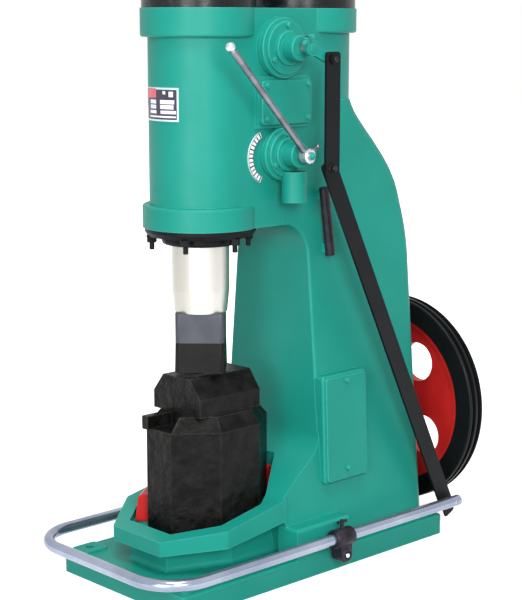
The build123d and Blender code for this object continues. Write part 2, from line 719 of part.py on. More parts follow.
def chest_cover():
    x = (CHEST_X0 + CHEST_X1) / 2
    z = (CHEST_Z0 + CHEST_Z1) / 2
    face = -CHEST_OUT - CHEST_COVER_T
    body = block(x - CHEST_COVER_W / 2, x + CHEST_COVER_W / 2, face, -CHEST_OUT,
                 z - CHEST_COVER_H / 2, z + CHEST_COVER_H / 2)
    body = fillet(body.edges().filter_by(Axis.Y), CHEST_COVER_R)
    return fillet(body.faces().sort_by(Axis.Y)[0].edges(), CHEST_COVER_EDGE_R)


def upper_valve_shaft():
    return rod(SHAFT_R, (VALVE_X, -VALVE_BORE_END - 5, UP_VALVE_Z), (VALVE_X, ARM_OUT, UP_VALVE_Z))


def upper_valve_arm():
    size = math.hypot(LINK_TOP_X - VALVE_X, LINK_TOP_Z - UP_VALVE_Z)
    turn = math.degrees(math.atan2(LINK_TOP_Z - UP_VALVE_Z, LINK_TOP_X - VALVE_X))
    outline = Circle(ARM_EYE_R) + Pos(size, 0) * Circle(ARM_TIP_R)
    outline += Pos(size / 2, 0) * Rectangle(size, 2 * ARM_TIP_R - 4)
    outline += Rot(0, 0, ARM_LUG_DEG - turn) * Pos(ARM_LUG_L / 2, 0) * Rectangle(ARM_LUG_L, ARM_LUG_W)
    outline -= Circle(SHAFT_R)
    plane = Plane(origin=(VALVE_X, ARM_OUT, UP_VALVE_Z), x_dir=(1, 0, 0), z_dir=(0, -1, 0))
    body = extrude(plane * (Rot(0, 0, turn) * outline), -VALVE_ARM_T)
    top = (LINK_TOP_X, ARM_OUT, LINK_TOP_Z)
    outer = LINK_Y - 1.5 * BAR_T - 1
    body += rod(LINK_PIN_R, top, (LINK_TOP_X, outer, LINK_TOP_Z))
    body += rod(LINK_HEAD_R, (LINK_TOP_X, outer, LINK_TOP_Z), (LINK_TOP_X, outer - LINK_HEAD_T, LINK_TOP_Z))
    return body


def bar(x0, z0, x1, z1, y, reach):
    size = math.hypot(x1 - x0, z1 - z0)
    turn = math.degrees(math.atan2(z1 - z0, x1 - x0))
    outline = Pos(size / 2, 0) * RectangleRounded(size + 2 * BAR_END, BAR_W, BAR_CORNER_R)
    plane = Plane(origin=(x0, y + reach / 2, z0), x_dir=(1, 0, 0), z_dir=(0, -1, 0))
    return extrude(plane * (Rot(0, 0, turn) * outline), reach)


def link_upper_bar():
    y = LINK_Y - BAR_T
    body = bar(LINK_TOP_X, LINK_TOP_Z, LINK_TOP_X, LINK_KNEE_Z, y, BAR_T)
    hole = rod(LINK_TOP_HOLE_R, (LINK_TOP_X, y - 20, LINK_TOP_Z), (LINK_TOP_X, y + 20, LINK_TOP_Z))
    return body - hole


def link_lower_bar():
    y = LINK_Y
    body = bar(LINK_TOP_X, LINK_KNEE_Z, LINK_FOOT_X, TREADLE_Z, y, BAR_T)
    hole = rod(LINK_PIN_BORE_R, (LINK_FOOT_X, y - 20, TREADLE_Z), (LINK_FOOT_X, y + 20, TREADLE_Z))
    return body - hole


def link_knee_bolt():
    z = LINK_KNEE_Z
    outer = LINK_Y - 1.5 * BAR_T
    return rod(LINK_HEAD_R, (LINK_TOP_X, outer, z), (LINK_TOP_X, outer - LINK_HEAD_T, z))


def treadle_path():
    far_rear = (TREADLE_FAR_END, TREADLE_HALF, TREADLE_Z)
    corners = [(TREADLE_REAR, -TREADLE_HALF, TREADLE_Z), (TREADLE_FRONT, -TREADLE_HALF, TREADLE_Z),
               (TREADLE_FRONT, TREADLE_HALF, TREADLE_Z), far_rear]
    return FilletPolyline(*corners, radius=TREADLE_BEND_R)


def treadle_pipe():
    path = treadle_path()
    section = Plane(origin=path @ 0, z_dir=path % 0) * Circle(PIPE_R)
    body = sweep(section, path)
    y = -TREADLE_HALF
    return body - rod(LINK_PIN_R, (LINK_FOOT_X, y - 30, TREADLE_Z), (LINK_FOOT_X, y + 30, TREADLE_Z))


def treadle_clamp(side):
    y = side * TREADLE_HALF
    body = rod(CLAMP_R, (PIVOT_X - CLAMP_L / 2, y, TREADLE_Z), (PIVOT_X + CLAMP_L / 2, y, TREADLE_Z))
    body += rod(LOBE_R, (PIVOT_X, y - LOBE_T / 2, PIVOT_Z), (PIVOT_X, y + LOBE_T / 2, PIVOT_Z))
    body += block(PIVOT_X - LOBE_R, PIVOT_X + LOBE_R, y - LOBE_T / 2, y + LOBE_T / 2, PIVOT_Z, TREADLE_Z)
    body -= rod(PIPE_R, (PIVOT_X - CLAMP_L, y, TREADLE_Z), (PIVOT_X + CLAMP_L, y, TREADLE_Z))
    body -= rod(PIVOT_BORE_R, (PIVOT_X, y - 50, PIVOT_Z), (PIVOT_X, y + 50, PIVOT_Z))
    body -= rod(SCREW_R, (PIVOT_X, y, TREADLE_Z), (PIVOT_X, y, TREADLE_Z + 2 * CLAMP_R))
    return body


def treadle_pin(side):
    inner = side * (BED_HALF - PIN_SET)
    outer = side * (TREADLE_HALF + LOBE_T / 2 + PIN_END)
    return rod(PIVOT_R, (PIVOT_X, inner, PIVOT_Z), (PIVOT_X, outer, PIVOT_Z))


def clamp_screw(side):
    y = side * TREADLE_HALF
    low = TREADLE_Z + PIPE_R + 0.5
    top = TREADLE_Z + CLAMP_R + SCREW_UP
    bar_z = top - SCREW_BAR_R - 1
    body = rod(SCREW_R, (PIVOT_X, y, low), (PIVOT_X, y, top))
    body += rod(SCREW_BAR_R, (PIVOT_X - SCREW_BAR_HALF, y, bar_z), (PIVOT_X + SCREW_BAR_HALF, y, bar_z))
    return body


def link_foot_pin():
    inner = LINK_Y + BAR_T / 2 + 1.5
    outer = -TREADLE_HALF - PIPE_R + 2
    return rod(LINK_PIN_R, (LINK_FOOT_X, outer, TREADLE_Z), (LINK_FOOT_X, inner, TREADLE_Z))


def hand_lever_shaft():
    outer = LEVER_Y - LEVER_HUB_T / 2 - SHAFT_OUT
    return rod(SHAFT_R, (VALVE_X, -VALVE_BORE_END - 5, LOW_VALVE_Z), (VALVE_X, outer, LOW_VALVE_Z))


def hand_lever_hub():
    y0 = LEVER_Y - LEVER_HUB_T / 2
    y1 = LEVER_Y + LEVER_HUB_T / 2
    body = rod(LEVER_HUB_R, (VALVE_X, y0, LOW_VALVE_Z), (VALVE_X, y1, LOW_VALVE_Z))
    body -= rod(SHAFT_R, (VALVE_X, y0 - 5, LOW_VALVE_Z), (VALVE_X, y1 + 5, LOW_VALVE_Z))
    body -= rod(LEVER_R, lever_point(LEVER_ROOT), lever_point(2 * LEVER_HUB_R))
    return body - rod(BOLT_R, bolt_point(LEVER_ROOT), bolt_point(2 * LEVER_HUB_R))


def lever_point(reach):
    turn = math.radians(180 - LEVER_UP_DEG)
    return (VALVE_X + reach * math.cos(turn), LEVER_Y, LOW_VALVE_Z + reach * math.sin(turn))


def hand_lever():
    body = rod(LEVER_R, lever_point(LEVER_ROOT), lever_point(LEVER_L))
    return body + Pos(*lever_point(LEVER_L)) * Sphere(LEVER_TIP_R)


def bolt_point(reach):
    turn = math.radians(CLAMP_BOLT_DEG)
    return (VALVE_X + reach * math.cos(turn), LEVER_Y, LOW_VALVE_Z + reach * math.sin(turn))


def lever_clamp_bolt():
    tip = bolt_point(CLAMP_BOLT_L)
    return rod(BOLT_R, bolt_point(LEVER_ROOT), tip) + Pos(*tip) * Sphere(BOLT_HEAD_R)


def scale_arc():
    ring = Circle(ARC_R + ARC_W / 2) - Circle(ARC_R - ARC_W / 2)
    reach = ARC_R + ARC_W
    far = reach / math.cos(math.radians(ARC_HALF_DEG))
    rise = far * math.sin(math.radians(ARC_HALF_DEG))
    corners = [(0, 0), (-reach, rise), (-2 * reach, rise), (-2 * reach, -rise), (-reach, -rise)]
    sector = Polygon(*corners, align=None)
    plane = Plane(origin=(ARC_X, -HEAD_HALF, ARC_Z), x_dir=(1, 0, 0), z_dir=(0, -1, 0))
    return extrude(plane * (ring & sector), ARC_T)


def side_cover():
    body = extrude(side_rectangle(SIDE_COVER_INSET), SIDE_COVER_T)
    body = fillet(body.faces().sort_by(Axis.Z)[-1].edges(), SIDE_COVER_EDGE_R)
    return side_frame() * body


def nameplate():
    outer = HEAD_HALF + PLATE_T
    ring = Circle(outer) - Circle(HEAD_HALF)
    half = math.radians(PLATE_W_DEG / 2)
    reach = 2 * outer
    sector = Polygon((0, 0), (reach * math.cos(half), reach * math.sin(half)),
                     (reach * math.cos(half), -reach * math.sin(half)), align=None)
    band = extrude(Rot(0, 0, PLATE_TURN) * (ring & sector), PLATE_H)
    return Pos(0, 0, PLATE_Z0) * band


def rod_y():
    return -max(HEAD_HALF, column_half_at(ROD_FOOT_Z)) - ROD_OFF - ROD_R


def rod_point(share):
    x = ROD_FOOT_X + share * (ROD_TOP_X - ROD_FOOT_X)
    z = ROD_FOOT_Z + share * (ROD_TOP_Z - ROD_FOOT_Z)
    return (x, rod_y(), z)


def guide_rod():
    return rod(ROD_R, rod_point(0), rod_point(1))


def rod_seats():
    seats = []
    for share in (ROD_SEAT_FOOT, ROD_SEAT_HEAD):
        x, y, z = rod_point(share)
        seats.append(block(x - ROD_SEAT_HALF, x + ROD_SEAT_HALF, y, y + ROD_R + ROD_OFF + ROD_SEAT_IN,
                           z - ROD_SEAT_H / 2, z + ROD_SEAT_H / 2))
    return seats


def flywheel_disc():
    x1 = WHEEL_X + DISC_IN
    body = rod(WHEEL_RED_R, (x1, 0, WHEEL_Z), (x1 + DISC_T, 0, WHEEL_Z))
    hub = WHEEL_X - HUB_FRONT
    body += rod(WHEEL_HUB_R, (hub, 0, WHEEL_Z), (hub + WHEEL_HUB_L, 0, WHEEL_Z))
    rim_side = WHEEL_RED_R - WHEEL_LEDGE_W
    ledge = rod(WHEEL_RED_R, (x1 - WHEEL_LEDGE_T, 0, WHEEL_Z), (x1, 0, WHEEL_Z))
    body += ledge - rod(rim_side, (x1 - WHEEL_LEDGE_T, 0, WHEEL_Z), (x1, 0, WHEEL_Z))
    body -= rod(CRANK_R, (hub - CUT, 0, WHEEL_Z), (hub + WHEEL_HUB_L + CUT, 0, WHEEL_Z))
    for i in range(WHEEL_HOLES):
        turn = math.radians(WHEEL_HOLE_TURN + 360 / WHEEL_HOLES * i)
        y = WHEEL_HOLE_PCD_R * math.cos(turn)
        z = WHEEL_Z + WHEEL_HOLE_PCD_R * math.sin(turn)
        body -= rod(WHEEL_HOLE_R, (x1 - CUT, y, z), (x1 + DISC_T + CUT, y, z))
    return body


def flywheel_rim():
    inner = WHEEL_RED_R
    profile = Polygon((inner, 0), (WHEEL_R, 0), (WHEEL_R, RIM_W), (inner, RIM_W), align=None)
    profile = fillet([v for v in profile.vertices() if v.X > inner + 1], RIM_EDGE_R)
    first = RIM_W / 2 - GROOVE_PITCH * (GROOVES - 1) / 2
    for i in range(GROOVES):
        c = first + GROOVE_PITCH * i
        floor = WHEEL_R - GROOVE_D
        profile -= Polygon((WHEEL_R + 1, c - GROOVE_W / 2), (WHEEL_R + 1, c + GROOVE_W / 2),
                           (floor, c + GROOVE_W / 4), (floor, c - GROOVE_W / 4), align=None)
    plane = Plane(origin=(WHEEL_X, 0, WHEEL_Z), x_dir=(0, 1, 0), z_dir=(0, 0, -1))
    return revolve(plane * profile, Axis((WHEEL_X, 0, WHEEL_Z), (1, 0, 0)), 360)


def crankshaft():
    end = WHEEL_X - HUB_FRONT + WHEEL_HUB_L + CRANK_OUT
    return rod(CRANK_R, (COLUMN_REAR - CRANK_BORE_L + 5, 0, WHEEL_Z), (end, 0, WHEEL_Z))


def bearing_cover():
    body = rod(BEARING_R, (COLUMN_REAR, 0, WHEEL_Z), (COLUMN_REAR + BEARING_T, 0, WHEEL_Z))
    return body - rod(CRANK_BORE_R, (COLUMN_REAR - 5, 0, WHEEL_Z), (COLUMN_REAR + BEARING_T + 5, 0, WHEEL_Z))


def main():
    os.makedirs("parts", exist_ok=True)
    save(frame_casting(), "frame_casting")
    save(anvil(), "anvil_block")
    save(side_wedge(), "anvil_wedge_side")
    save(rear_wedge(), "anvil_wedge_rear")
    save(lower_die(), "lower_die")
    save(die_key(), "lower_die_key")
    save(gland_flange(), "ram_gland_flange")
    save(gland_ring(), "ram_gland_ring")
    save(cylinder_cover(0), "ram_cylinder_cover")
    save(cylinder_cover(REAR_AXIS_X), "compressor_cylinder_cover")
    save(valve_cover(UP_VALVE_Z, UP_VALVE_R), "upper_valve_cover")
    save(exhaust_cover(), "lower_valve_cover")
    save(chest_cover(), "valve_chest_cover")
    save(scale_arc(), "lever_scale")
    save(side_cover(), "column_side_cover")
    save(nameplate(), "nameplate")
    save(guide_rod(), "side_bar")
    save(treadle_pin(-1), "treadle_pin_right")
    save(treadle_pin(1), "treadle_pin_left")
    save(bearing_cover(), "crank_bearing_cover")
    save(ram(), "ram")
    save(upper_die_holder(), "upper_die_shank")
    save(upper_die(), "upper_die")
    save(upper_valve_shaft(), "upper_valve_shaft")
    save(upper_valve_arm(), "upper_valve_arm")
    save(hand_lever_shaft(), "lower_valve_shaft")
    save(hand_lever_hub(), "hand_lever_hub")
    save(hand_lever(), "hand_lever")
    save(lever_clamp_bolt(), "lever_clamp_bolt")
    save(link_upper_bar(), "link_upper_bar")
    save(link_lower_bar(), "link_lower_bar")
    save(link_knee_bolt(), "link_knee_bolt")
    save(treadle_pipe(), "treadle_pipe")
    save(treadle_clamp(-1), "treadle_clamp_right")
    save(treadle_clamp(1), "treadle_clamp_left")
    save(clamp_screw(-1), "clamp_screw_right")
    save(clamp_screw(1), "clamp_screw_left")
    save(link_foot_pin(), "link_foot_pin")
    save(flywheel_disc(), "flywheel_disc")
    save(flywheel_rim(), "flywheel_rim")
    save(crankshaft(), "crankshaft")


main()
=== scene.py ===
import bmesh
import bpy
import json
import math
from mathutils import Matrix, Vector


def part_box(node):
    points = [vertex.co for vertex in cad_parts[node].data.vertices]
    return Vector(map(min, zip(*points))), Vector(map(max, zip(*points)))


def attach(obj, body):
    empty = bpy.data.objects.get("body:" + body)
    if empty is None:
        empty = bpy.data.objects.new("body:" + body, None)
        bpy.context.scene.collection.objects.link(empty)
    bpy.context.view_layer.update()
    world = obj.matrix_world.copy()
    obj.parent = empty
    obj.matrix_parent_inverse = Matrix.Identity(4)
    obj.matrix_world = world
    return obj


# Looks of a pneumatic forging hammer. Lengths are written in millimetres and made in metres.
# The ram axis is the vertical through the origin, the front is -X and the valve side is -Y.
MM = 0.001

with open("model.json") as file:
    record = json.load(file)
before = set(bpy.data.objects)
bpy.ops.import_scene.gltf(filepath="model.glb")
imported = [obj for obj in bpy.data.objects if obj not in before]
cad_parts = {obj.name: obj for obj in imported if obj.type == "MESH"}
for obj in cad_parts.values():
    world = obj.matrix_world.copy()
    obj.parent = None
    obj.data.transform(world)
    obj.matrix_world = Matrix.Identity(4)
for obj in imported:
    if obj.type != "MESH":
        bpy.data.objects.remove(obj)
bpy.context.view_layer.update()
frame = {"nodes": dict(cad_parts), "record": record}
nodes = frame["nodes"]

# camera: place in millimetres, angles in degrees, focal length and centre of the view in pixels
IMAGE_W = 522
IMAGE_H = 600
CAMERA_AT = (-2758.7, -3169.3, 1528.4)
CAMERA_YAW = 46.7
CAMERA_PITCH = 11.07
FOCAL_PX = 1546.5
CENTRE_PX = (261.0, 325.5)
SENSOR_MM = 36.0
CAMERA_REACH_M = 100

# directions out of the machine
UP = (0, 0, 1)
DOWN = (0, 0, -1)
VALVE_SIDE = (0, -1, 0)

# cylinder heads and gland
RAM_AXIS_X = 0.0
REAR_AXIS_X = 383.0
GLAND_BOLTS = 6
GLAND_BOLT_R = 135.0
GLAND_BOLT_START_DEG = 32.0
GLAND_NUT_TURN_DEG = 12.0
COVER_BOLTS = 8
COVER_BOLT_R = 128.0
COVER_BOLT_START_DEG = 22.5
COVER_NUT_TURN_DEG = 9.0
COVER_BOSS_H = 16.0

# valve covers and chest cover
VALVE_X = 162.0
UPPER_VALVE_Z = 1462.9
LOWER_VALVE_Z = 1180.8
VALVE_COVER_Y = -174.0
VALVE_BOLT_DEGS = (90, 210, 330)
UPPER_COVER_BOLT_R = 60.0
LOWER_COVER_BOLT_R = 54.0
CHEST_COVER_Y = -164.0
CHEST_BOLTS_AT = ((96, 1366), (249, 1366), (249, 1276), (96, 1276))

# upper valve arm and link
ARM_Y = -264.0
ARM_LUG_DEG = 118.0
ARM_BOLT_OUT = 25.0
ARM_BOLT_HALF = 12.0
# the slit in the arm's clamp lug is drawn as a thin dark box: painted shade in the gap
ARM_SLIT_OUT = 27.0
ARM_SLIT_SHADE_SIZE = (20, 12.8, 2.4)
ARM_PIN = (229.0, 1433.9)
ARM_PIN_BACK = 4.0
WASHER_OUT = 0.6
LINK_KNEE = (229.0, 1144.8)
LINK_FOOT = (742.0, 108.0)
LINK_LOWER_Y = -268.0
LINK_FOOT_NUT_Y = -263.0
FOOT_END_OUT = 32.0
FOOT_END_SIZES = ((40, 7, 40), (44, 6.8, 30))

# hand lever and its scale
LEVER_Y = -250.0
LEVER_UP_DEG = 46.3
LEVER_LENGTH = 398.0
LEVER_GRIP_FROM = 14.0
LEVER_GRIP_SHORT = 12.0
LEVER_GRIP_RS = (8.6, 9.3)
LEVER_BALL_R = 13.0
HUB_CAP_H = 10.0
SCALE_CENTRE = (124.0, 1173.8)
SCALE_GAPS = 12
SCALE_HALF_DEG = 60
SCALE_LONG_MARK = (66, 16)
SCALE_SHORT_MARK = (65.5, 11)
SCALE_MARK_W = 3.6
SCALE_MARK_T = 0.8
SCALE_RIM_RS = (58.2, 74.0)
SCALE_RIM_W = 1.6
SCALE_RIM_HALF_DEG = 62
SCALE_RIM_STEPS = 24

# nameplate on the ram's cylinder, each patch from angle to angle and from height to height
PLATE_R = 139.5
PLATE_GROUND_OUT = 0.25
PLATE_FIELD_OUT = 0.5
PLATE_STEP_DEG = 3
PLATE_GROUND_SPAN = (151.5, 204, 1279, 1357)
PLATE_MARK_SPAN = (150.5, 174.5, 1335, 1359.5)
PLATE_FIELD_SPANS = (
    (185.5, 189.5, 1345, 1353), (194, 199.5, 1338, 1352), (162, 174.5, 1319.5, 1330),
    (181.5, 201, 1319.5, 1330), (162, 174.5, 1306.5, 1317), (181.5, 200, 1306.5, 1317),
    (161, 175, 1294, 1302.5), (182, 203, 1294, 1302.5), (160, 203, 1284, 1288.5),
)

# column cover and treadle
SIDE_TAPER = 0.04
SIDE_BOLT_ZS = (275.0, 532.0)
PIPE_Y = 300.0
PIPE_Z = 108.0
CLAMP_X = 258.0
CLAMP_RING_XS = (222.0, 284.0)
CLAMP_PIN_Z = 60.0
CLAMP_LOBE_OUT = 12.0
CLAMP_PIN_OUT = 23.5

# bolts: width across the flats, head height, washer radius and thickness, stud radius and end
NUT_TURN_DEG = 10.0
NUT_EASE = 0.08
NUT_EASE_WIDTH = 1.4
STUD_EASE = 1.5
SEAT_DEPTH = 1
BOLTS = {
    "gland": (24, 15, 15, 3, 7, 37),
    "cylinder_cover": (24, 10, 14, 2, 7, 15),
    "valve_cover": (13, 8, 0, 0, 0, 0),
    "chest_cover": (12, 6, 8, 1.5, 0, 0),
    "side_cover": (13, 7, 8, 1.5, 0, 0),
    "arm_head": (13, 8, 0, 0, 0, 0),
    "arm_nut": (13, 8, 0, 0, 4, 12),
    "knee": (15, 6, 0, 0, 4.5, 9),
    "arm_pin": (14, 5, 0, 0, 0, 0),
    "hub_screw": (12, 4, 0, 0, 0, 0),
    "link_foot": (17, 6, 0, 0, 0, 0),
}

# turned shapes, as radius and height along their own axis
PROFILES = {
    "valve_shaft_cap": [(0, -6), (12.5, -6), (12.5, 1.2), (11, 2), (0, 2)],
    "knee_washer": [(0, -0.5), (14.4, -0.5), (14.4, 0.6), (0, 0.6)],
    "link_top_washer": [(14.4, 0), (14.4, 4.6), (0, 4.6)],
    "lever_hub_ring": [(9, -2), (9, 3), (16, 3), (20, 0), (20.5, -6), (20.5, -24), (18, -24)],
    "lever_hub_cap": [(0, 0), (10.5, 0), (10.5, 8), (8.5, 10), (0, 10)],
    "clamp_ring": [(17, 0), (23, 0), (26.5, 3), (26.5, 7), (23, 10), (17, 10)],
    "clamp_lobe": [(0, 0), (21, 0), (21, 9), (17, 12), (0, 12)],
    "clamp_pin_end": [(0, 0), (7, 0), (7, 1), (5.5, 2.5), (0, 2.5)],
}
# sides of round shapes
SIDES = 28
FINE_SIDES = 36
ROD_SIDES = 24
STUD_SIDES = 16
HEX_SIDES = 6
BALL_STEPS = 12

# edges: widths in millimetres
SHARP_DEG = 35
WELD_MM = 0.02
EASE_SEGMENTS = 2
SOFT_EDGES = {
    "anvil_block": 3.0, "lower_die": 2.0, "upper_die": 2.0, "upper_die_shank": 2.0,
    "anvil_wedge_side": 2.0, "anvil_wedge_rear": 2.0, "lower_die_key": 2.0,
    "link_upper_bar": 1.2, "link_lower_bar": 1.2, "upper_valve_arm": 1.5,
    "treadle_clamp_right": 2.0, "treadle_clamp_left": 2.0,
}
# edge tone mask on rounded edges: partly rubbed wear, partly a painted highlight along the edges
EDGE_WEAR_AND_SHINE_FLAT = 0.995
EDGE_WEAR_AND_SHINE_SHARP = 0.93
EDGE_WEAR_AND_SHINE_PATCHES = 60

# light: places and aims in metres, size and power of each lamp
LAMPS = (
    ("key", (-2.7, -5.0, 2.7), (0.1, 0, 0.7), 2.0, 222),
    ("fill", (-4.6, -2.6, 1.7), (0.1, 0, 0.6), 2.4, 82),
    ("low", (-3.8, -1.7, 0.9), (0.1, 0, 0.5), 1.6, 36),
    ("top", (-1.2, -1.8, 6.4), (0.1, 0, 0.4), 2.4, 180),
)
SKY_STRENGTH = 0.68
FLOOR_HALF_M = 20
FLOOR_GREY = 0.8
FLOOR_QUIET_GREY = 0.22
FLOOR_GLOW_NEAR = (0.8, 0.5)
FLOOR_GLOW_FAR = (2.6, 1.0)


def mm(*values):
    return Vector(values) * MM


def make_camera():
    yaw = math.radians(CAMERA_YAW)
    pitch = math.radians(CAMERA_PITCH)
    ahead = Vector((math.cos(yaw) * math.cos(pitch), math.sin(yaw) * math.cos(pitch), -math.sin(pitch)))
    data = bpy.data.cameras.new("camera")
    data.sensor_width = SENSOR_MM
    data.lens = FOCAL_PX * SENSOR_MM / IMAGE_H
    data.shift_x = (IMAGE_W / 2 - CENTRE_PX[0]) / IMAGE_H
    data.shift_y = (CENTRE_PX[1] - IMAGE_H / 2) / IMAGE_H
    data.clip_end = CAMERA_REACH_M
    camera = bpy.data.objects.new("camera", data)
    camera.location = mm(*CAMERA_AT)
    camera.rotation_euler = ahead.to_track_quat("-Z", "Y").to_euler()
    bpy.context.scene.collection.objects.link(camera)
    bpy.context.scene.camera = camera


# materials

NOISE_DETAIL = 4
GLOSS_NOISE_TIMES = 7
GLOSS_BAND = (0.3, 0.7)
COAT_ROUGHNESS = 0.16


def new_material(name):
    material = bpy.data.materials.new(name)
    material.use_nodes = True
    tree = material.node_tree
    return material, tree, tree.nodes["Principled BSDF"]


def linear(channel):
    channel = channel / 255
    if channel <= 0.04045:
        return channel / 12.92
    return ((channel + 0.055) / 1.055) ** 2.4


def colour(r, g, b):
    return (linear(r), linear(g), linear(b), 1)


def object_noise(tree, scale, stretch=(1, 1, 1)):
    place = tree.nodes.new("ShaderNodeTexCoord")
    mapping = tree.nodes.new("ShaderNodeMapping")
    mapping.inputs["Scale"].default_value = stretch
    noise = tree.nodes.new("ShaderNodeTexNoise")
    noise.inputs["Scale"].default_value = scale
    noise.inputs["Detail"].default_value = NOISE_DETAIL
    tree.links.new(place.outputs["Object"], mapping.inputs["Vector"])
    tree.links.new(mapping.outputs["Vector"], noise.inputs["Vector"])
    return noise.outputs["Fac"]


def ramp(tree, source, stops):
    node = tree.nodes.new("ShaderNodeValToRGB")
    for element, (at, value) in zip(node.color_ramp.elements, stops):
        element.position = at
        element.color = value
    tree.links.new(source, node.inputs["Fac"])
    return node.outputs["Color"]


def grey(value):
    return (value, value, value, 1)


def add_bump(tree, shader, height, distance_mm, strength):
    bump = tree.nodes.new("ShaderNodeBump")
    bump.inputs["Distance"].default_value = distance_mm * MM
    bump.inputs["Strength"].default_value = strength
    tree.links.new(height, bump.inputs["Height"])
    tree.links.new(bump.outputs["Normal"], shader.inputs["Normal"])


def surface(name, dark, light, scale, rough, metallic=0.0, coat=0.0, bump=(60, 0.3, 0.15),
            stretch=(1, 1, 1), middle=(0.35, 0.65), specular=0.5):
    material, tree, shader = new_material(name)
    shade = object_noise(tree, scale, stretch)
    tree.links.new(ramp(tree, shade, [(middle[0], dark), (middle[1], light)]), shader.inputs["Base Color"])
    fine = object_noise(tree, scale * GLOSS_NOISE_TIMES)
    gloss = ramp(tree, fine, [(GLOSS_BAND[0], grey(rough[0])), (GLOSS_BAND[1], grey(rough[1]))])
    tree.links.new(gloss, shader.inputs["Roughness"])
    shader.inputs["Metallic"].default_value = metallic
    shader.inputs["Specular IOR Level"].default_value = specular
    shader.inputs["Coat Weight"].default_value = coat
    shader.inputs["Coat Roughness"].default_value = COAT_ROUGHNESS
    add_bump(tree, shader, object_noise(tree, bump[0]), bump[1], bump[2])
    return material


# Lightens rounded edges towards a given tone in noise patches: partly rubbed wear, partly a painted
# highlight along the edges.
def wear_and_highlight_edges(material, wear_and_shine_tone, width_mm, amount):
    tree = material.node_tree
    shader = tree.nodes["Principled BSDF"]
    base = shader.inputs["Base Color"].links[0].from_socket
    rounded = tree.nodes.new("ShaderNodeBevel")
    rounded.inputs["Radius"].default_value = width_mm * MM
    plain = tree.nodes.new("ShaderNodeNewGeometry")
    turn = tree.nodes.new("ShaderNodeVectorMath")
    turn.operation = "DOT_PRODUCT"
    tree.links.new(rounded.outputs[0], turn.inputs[0])
    tree.links.new(plain.outputs["Normal"], turn.inputs[1])
    edge = tree.nodes.new("ShaderNodeMapRange")
    edge.inputs["From Min"].default_value = EDGE_WEAR_AND_SHINE_FLAT
    edge.inputs["From Max"].default_value = EDGE_WEAR_AND_SHINE_SHARP
    edge.inputs["To Max"].default_value = amount
    tree.links.new(turn.outputs["Value"], edge.inputs["Value"])
    patch = tree.nodes.new("ShaderNodeMath")
    patch.operation = "MULTIPLY"
    tree.links.new(edge.outputs[0], patch.inputs[0])
    tree.links.new(object_noise(tree, EDGE_WEAR_AND_SHINE_PATCHES), patch.inputs[1])
    mix = tree.nodes.new("ShaderNodeMix")
    mix.data_type = "RGBA"
    tree.links.new(patch.outputs[0], mix.inputs["Factor"])
    tree.links.new(base, mix.inputs["A"])
    mix.inputs["B"].default_value = wear_and_shine_tone
    tree.links.new(mix.outputs["Result"], shader.inputs["Base Color"])


MATERIALS = {
    "teal_paint": surface("teal_paint", colour(20, 132, 118), colour(25, 138, 124), 4, (0.4, 0.48),
                          bump=(28, 0.6, 0.12), specular=0.2),
    "black_paint": surface("black_paint", colour(14, 16, 18), colour(20, 21, 24), 9, (0.36, 0.48),
                           bump=(80, 0.4, 0.2), specular=0.1),
    "machined_steel": surface("machined_steel", colour(150, 150, 153), colour(190, 190, 192), 30,
                              (0.26, 0.38), metallic=1.0),
    "forged_black": surface("forged_black", colour(7, 7, 6), colour(27, 26, 26), 24, (0.26, 0.5),
                            bump=(38, 5.0, 0.9), middle=(0.36, 0.72), specular=0.1),
    "red_paint": surface("red_paint", colour(166, 26, 26), colour(184, 34, 32), 8, (0.32, 0.44),
                         bump=(60, 0.5, 0.2), specular=0.18),
    "white_enamel": surface("white_enamel", colour(226, 226, 232), colour(240, 240, 242), 40, (0.35, 0.45)),
    "dark_bar": surface("dark_bar", colour(22, 20, 26), colour(46, 42, 52), 30, (0.34, 0.5), metallic=0.2,
                        bump=(70, 1.2, 0.5), specular=0.2),
    "plate_metal": surface("plate_metal", colour(186, 214, 212), colour(206, 228, 226), 30, (0.3, 0.4),
                           metallic=0.2),
    "ram_steel": surface("ram_steel", colour(176, 174, 167), colour(202, 200, 194), 9, (0.28, 0.38),
                         metallic=0.85, bump=(30, 0.1, 0.06), stretch=(1, 1, 0.05)),
    "die_grey": surface("die_grey", colour(60, 62, 71), colour(72, 74, 82), 12, (0.4, 0.5),
                        metallic=0.2, bump=(50, 0.4, 0.2), specular=0.3),
    "bright_steel": surface("bright_steel", colour(196, 194, 198), colour(222, 220, 224), 20, (0.14, 0.24),
                            metallic=1.0),
    "pipe_zinc": surface("pipe_zinc", colour(138, 147, 168), colour(166, 174, 192), 6, (0.17, 0.24),
                         metallic=0.85, bump=(50, 0.4, 0.2)),
    "rim_black": surface("rim_black", colour(11, 13, 14), colour(17, 19, 21), 10, (0.3, 0.42),
                         bump=(60, 0.5, 0.2), specular=0.14),
}
# forged black edges: brown-grey rubbed wear together with a painted edge highlight
wear_and_highlight_edges(MATERIALS["forged_black"], colour(66, 62, 58), 6, 1.0)
# teal edges: a painted highlight in lighter teal along the rounded edges, not wear
wear_and_highlight_edges(MATERIALS["teal_paint"], colour(70, 178, 166), 5, 0.8)
LEVER_HUB = surface("lever_hub_white", colour(176, 178, 186), colour(206, 208, 214), 30, (0.16, 0.24),
                    metallic=0.8)
LEVER_ROD = surface("lever_rod", colour(104, 104, 110), colour(132, 132, 138), 30, (0.24, 0.34),
                    metallic=0.95)
